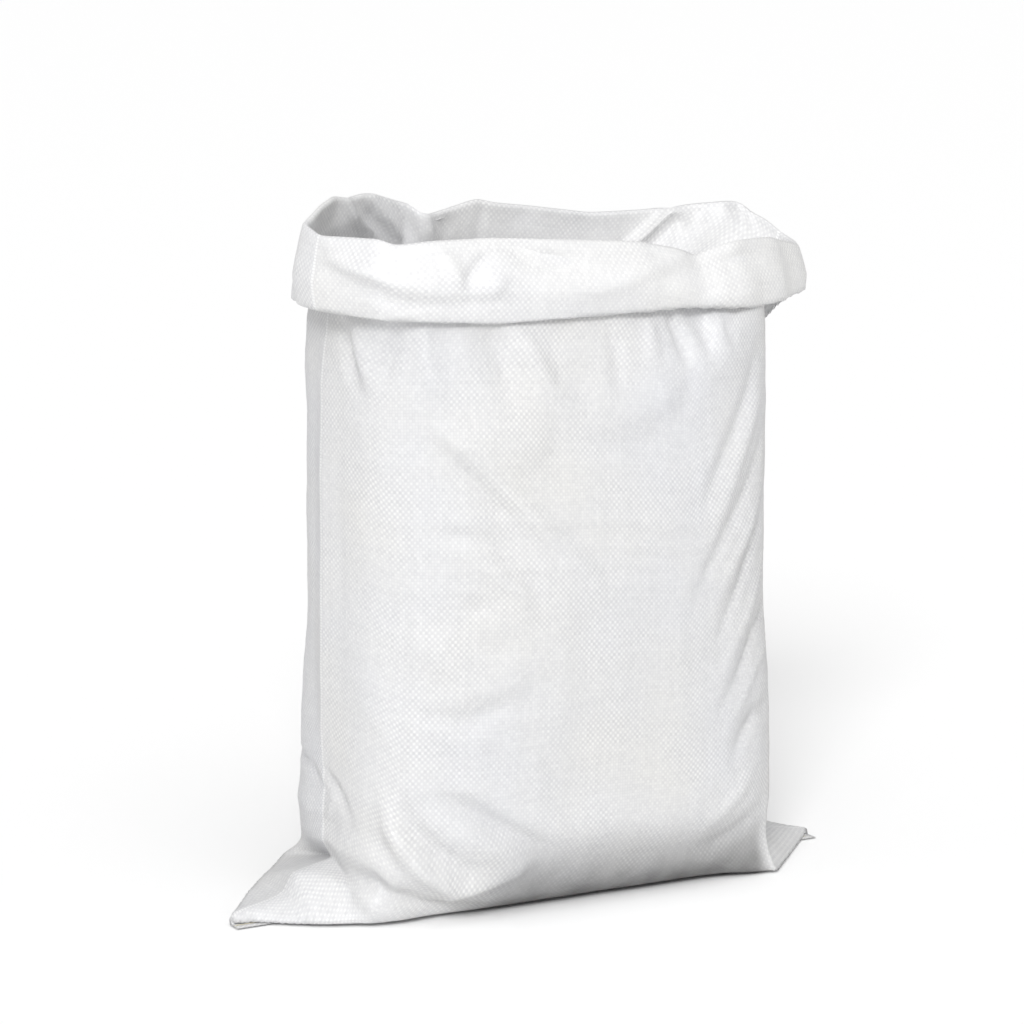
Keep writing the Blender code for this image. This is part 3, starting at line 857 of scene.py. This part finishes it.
def woven_polypropylene():
    material = bpy.data.materials.new("woven polypropylene tape cloth")
    material.use_nodes = True
    tree = material.node_tree
    shader = tree.nodes["Principled BSDF"]
    cloth = node(tree, "UVMap", uv_map="cloth metres").outputs["UV"]
    tapes = node(tree, "VectorMath", {0: cloth, 1: (1 / TAPE, 1 / TAPE, 0)}, operation="MULTIPLY").outputs[0]

    # Which tape is on top, as a soft checker, and how crowned the cloth is there
    turns = node(tree, "VectorMath", {0: tapes, 1: (math.pi, math.pi, 0)}, operation="MULTIPLY").outputs[0]
    waves = node(tree, "VectorMath", {0: turns}, operation="SINE").outputs[0]
    wave = node(tree, "SeparateXYZ", {0: waves}).outputs
    over = node(tree, "Math", {0: wave[0], 1: wave[1]}, operation="MULTIPLY").outputs[0]
    crowns = node(tree, "VectorMath", {0: waves}, operation="ABSOLUTE").outputs[0]
    crown = node(tree, "SeparateXYZ", {0: crowns}).outputs
    flat_u = node(tree, "Math", {0: crown[0], 1: 0.6}, operation="POWER").outputs[0]
    flat_v = node(tree, "Math", {0: crown[1], 1: 0.6}, operation="POWER").outputs[0]
    height = node(tree, "Math", {0: flat_u, 1: flat_v}, operation="MULTIPLY").outputs[0]

    # The weave shows more where it is stretched and less where it is slack
    patches = node(tree, "TexNoise", {"Vector": cloth, "Scale": 13.0, "Detail": 3.0}).outputs["Fac"]
    contrast = node(tree, "MapRange", {0: patches, 1: 0.35, 2: 0.62, 3: 0.10, 4: 0.46}).outputs[0]
    even = node(tree, "Math", {0: over, 1: contrast, 2: 0.5}, operation="MULTIPLY_ADD").outputs[0]
    numbers = node(tree, "VectorMath", {0: tapes}, operation="FLOOR").outputs[0]
    chance = node(tree, "TexWhiteNoise", {"Vector": numbers}, noise_dimensions="2D").outputs["Value"]
    uneven = node(tree, "MapRange", {0: chance, 3: -0.14, 4: 0.14}).outputs[0]
    checker = node(tree, "Math", {0: even, 1: uneven}, operation="ADD").outputs[0]

    # Each tape has its own tone, because the film is slit and stretched unevenly
    number = node(tree, "SeparateXYZ", {0: numbers}).outputs
    tone_u = node(tree, "TexWhiteNoise", {"W": number[0]}, noise_dimensions="1D").outputs["Value"]
    tone_v = node(tree, "TexWhiteNoise", {"W": number[1]}, noise_dimensions="1D").outputs["Value"]
    tone = node(tree, "Mix", {"Factor": checker, 2: tone_v, 3: tone_u}).outputs[0]
    cloud = node(tree, "TexNoise", {"Vector": cloth, "Scale": 7.0, "Detail": 3.0}).outputs["Fac"]

    # Colour: painted sheen makes the upright tapes lighter than the crosswise ones, for their different
    # gloss, and painted shade makes the gaps between the crowns a little grey
    woven = mixed(tree, checker, linear("E4E4E6"), linear("FFFFFF"))
    gap = mixed(tree, height, linear("F8F8F9"), linear("FFFFFF"))
    with_painted_gap_shade = mixed(tree, 1.0, woven, gap, "MULTIPLY")
    toned = mixed(tree, tone, linear("FBFBFB"), linear("FFFFFF"))
    with_tone = mixed(tree, 1.0, with_painted_gap_shade, toned, "MULTIPLY")
    tint = mixed(tree, cloud, linear("FBFCFF"), linear("FFFEF9"))
    tinted = mixed(tree, 1.0, with_tone, tint, "MULTIPLY")

    # The wall is one layer of cloth. The mouth and the cuff have more behind them, and let less light through
    place = node(tree, "SeparateXYZ", {0: cloth}).outputs
    backed = soft_step(tree, place[1], ONE_LAYER_TO, BACKED_FROM)

    # Painted shade: a mottled band just above the base, darker towards the bottom, for the shade along the
    # foot of the sack. It stops at the ears and at the slumped lobe
    from_crease = node(tree, "Math", {0: place[0], 1: LAY_FLAT / 2}, operation="PINGPONG").outputs[0]
    rising = soft_step(tree, place[1], PAINTED_SHADE_TO, PAINTED_SHADE_FULL_AT)
    inward = soft_step(tree, from_crease, EAR_WIDTH, EAR_CLEAR)
    past_lobe = soft_step(tree, place[0], LOBE_END, LOBE_CLEAR)
    on_base = node(tree, "Math", {0: inward, 1: past_lobe}, operation="MULTIPLY").outputs[0]
    low = node(tree, "Math", {0: rising, 1: on_base}, operation="MULTIPLY").outputs[0]
    shade_noise = node(tree, "TexNoise", {"Vector": cloth, "Scale": 42.0, "Detail": 6.0}).outputs["Fac"]
    shade_mottle = node(tree, "MapRange", {0: shade_noise, 1: 0.3, 2: 0.7, 3: 0.70, 4: 0.90}).outputs[0]
    painted_shade = node(tree, "Math", {0: low, 1: shade_mottle}, operation="MULTIPLY").outputs[0]
    # Painted shade: the colour goes towards a dark grey in that band
    with_painted_shade = mixed(tree, painted_shade, tinted, linear("5C5B5A"))

    # The pressed side creases, stretched white tape by tape
    near = node(tree, "MapRange", {0: from_crease, 1: CREASE, 2: CREASE_EDGE, 3: 1.0, 4: 0.0}).outputs[0]
    dashes = node(tree, "Math", {0: near, 1: crown[1]}, operation="MULTIPLY").outputs[0]
    colour = mixed(tree, dashes, with_painted_shade, linear("FFFFFF"))
    tree.links.new(colour, shader.inputs["Base Color"])

    # Gloss: the crosswise tapes are a little rougher than the upright ones, and the pressed creases are dull
    gloss = node(tree, "MapRange", {0: checker, 3: 0.50, 4: 0.36}).outputs[0]
    rough = node(tree, "MapRange", {0: dashes, 3: gloss, 4: 0.62}).outputs[0]
    tree.links.new(rough, shader.inputs["Roughness"])
    shader.inputs["IOR"].default_value = 1.49
    relief = node(tree, "Bump", {"Height": height, "Distance": WEAVE_RELIEF, "Strength": 1.0})
    tree.links.new(relief.outputs[0], shader.inputs["Normal"])
    through = node(tree, "BsdfTranslucent", {"Color": colour, "Normal": relief.outputs[0]})
    share = node(tree, "MapRange", {0: backed, 3: LIGHT_THROUGH_ONE, 4: LIGHT_THROUGH_BACKED}).outputs[0]
    both = node(tree, "MixShader", {"Fac": share, 1: shader.outputs[0], 2: through.outputs[0]})
    tree.links.new(both.outputs[0], tree.nodes["Material Output"].inputs["Surface"])
    return material


sack.data.materials.append(woven_polypropylene())
print("tapes are", round(TAPE / MM, 2), "mm wide")

# %% [markdown]
# ## The seam
# The hem is closed by a chain stitch, sewn with one thick twisted thread. The length of a stitch is a guess.
# Above the cloth the thread lies as one plain strand from hole to hole, and below each stitch is a loop that
# reaches into the next one. The thread ends past the hem in two short loose ends.

# %% Sew the hem
STITCH = 7 * MM
THREAD_RADIUS = 0.3 * MM
SEAM_Y = -HEM / 2
TOP_STRAND, LOWER_STRAND = 2.25 * MM, 0.5 * MM
IN_THE_HOLE = 1.4 * MM
TAIL = 10.5 * MM


def chain_stitch(holes):
    """Points of one thread that sews through a row of holes along x, one loop to each stitch."""
    points = []
    for hole in holes:
        points += [(hole, SEAM_Y, TOP_STRAND), (hole + 0.2 * MM, SEAM_Y, IN_THE_HOLE)]
        for share, sway in ((0.05, 0.25), (0.3, 0.75), (0.75, 0.7), (1.08, 0.35), (1.16, 0.0)):
            points.append((hole + share * STITCH, SEAM_Y - sway * MM, LOWER_STRAND))
        for share, sway in ((1.08, 0.35), (0.75, 0.7), (0.3, 0.75), (0.1, 0.25)):
            points.append((hole + share * STITCH, SEAM_Y + sway * MM, LOWER_STRAND + 0.02 * MM))
        points += [(hole + 0.9 * MM, SEAM_Y, IN_THE_HOLE), (hole + 1.0 * MM, SEAM_Y, TOP_STRAND)]
    return points


def thread_tail(start, sway):
    """A loose end of thread past the seam, lying down towards the floor."""
    points = []
    for share in np.linspace(0.0, 1.0, 7):
        across = SEAM_Y + sway * math.sin(2.2 * share) * 4 * MM
        points.append((start + TAIL * share, across, (2.25 - 1.8 * share) * MM))
    return points


def sew(name, runs, radius):
    curve = bpy.data.curves.new(name, "CURVE")
    curve.dimensions = "3D"
    curve.bevel_depth = radius
    curve.bevel_resolution = 1
    curve.use_fill_caps = True
    for run in runs:
        spline = curve.splines.new("POLY")
        spline.points.add(len(run) - 1)
        for point, place in zip(spline.points, run):
            point.co = (*place, 1.0)
    thread = bpy.data.objects.new(name, curve)
    bpy.context.scene.collection.objects.link(thread)
    bpy.ops.object.select_all(action="DESELECT")
    thread.select_set(True)
    bpy.context.view_layer.objects.active = thread
    bpy.ops.object.convert(target="MESH")
    bpy.ops.object.shade_smooth()
    return bpy.context.object


seam_left, seam_right = SHIFT_X - LAY_FLAT / 2 + 3 * MM, SHIFT_X + LAY_FLAT / 2 - 1 * MM
holes = np.arange(seam_left, seam_right - STITCH, STITCH)
seam = chain_stitch(holes)
seam_end = seam[-1][0]
runs = [seam + thread_tail(seam_end + 1 * MM, 1.0), thread_tail(seam_end + 2 * MM, -0.6)]
hem_stitching = sew("hem_stitching", runs, THREAD_RADIUS)
print("seam of", len(holes), "stitches,", len(hem_stitching.data.polygons) * 2, "triangles")

# %% [markdown]
# ## The thread's finish
# Sewing thread for sacks is spun and twisted, off-white and matt. Its twist is drawn as fine slanting lines.

# %% Sewing thread
def sewing_thread():
    """Spun polyester thread: off-white and matt, with a twist that shows as slanting darker lines."""
    material = bpy.data.materials.new("spun polyester sewing thread")
    material.use_nodes = True
    tree = material.node_tree
    shader = tree.nodes["Principled BSDF"]
    place = node(tree, "TexCoord").outputs["Object"]
    lines = {"Vector": place, "Scale": 650.0, "Distortion": 0.6}
    twist = node(tree, "TexWave", lines, bands_direction="DIAGONAL").outputs[1]
    colour = mixed(tree, twist, linear("C9BE9C"), linear("EFE8D0"))
    tree.links.new(colour, shader.inputs["Base Color"])
    shader.inputs["Roughness"].default_value = 0.75
    relief = node(tree, "Bump", {"Height": twist, "Distance": 0.05 * MM, "Strength": 1.0})
    tree.links.new(relief.outputs[0], shader.inputs["Normal"])
    return material


hem_stitching.data.materials.append(sewing_thread())
print("finishes", [piece.data.materials[0].name for piece in (sack, hem_stitching)])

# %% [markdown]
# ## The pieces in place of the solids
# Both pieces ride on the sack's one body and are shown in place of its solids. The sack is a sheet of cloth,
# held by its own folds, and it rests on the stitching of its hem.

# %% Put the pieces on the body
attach(sack, "root")
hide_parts("sack_body")
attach(hem_stitching, "root")
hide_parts("hem_thread")
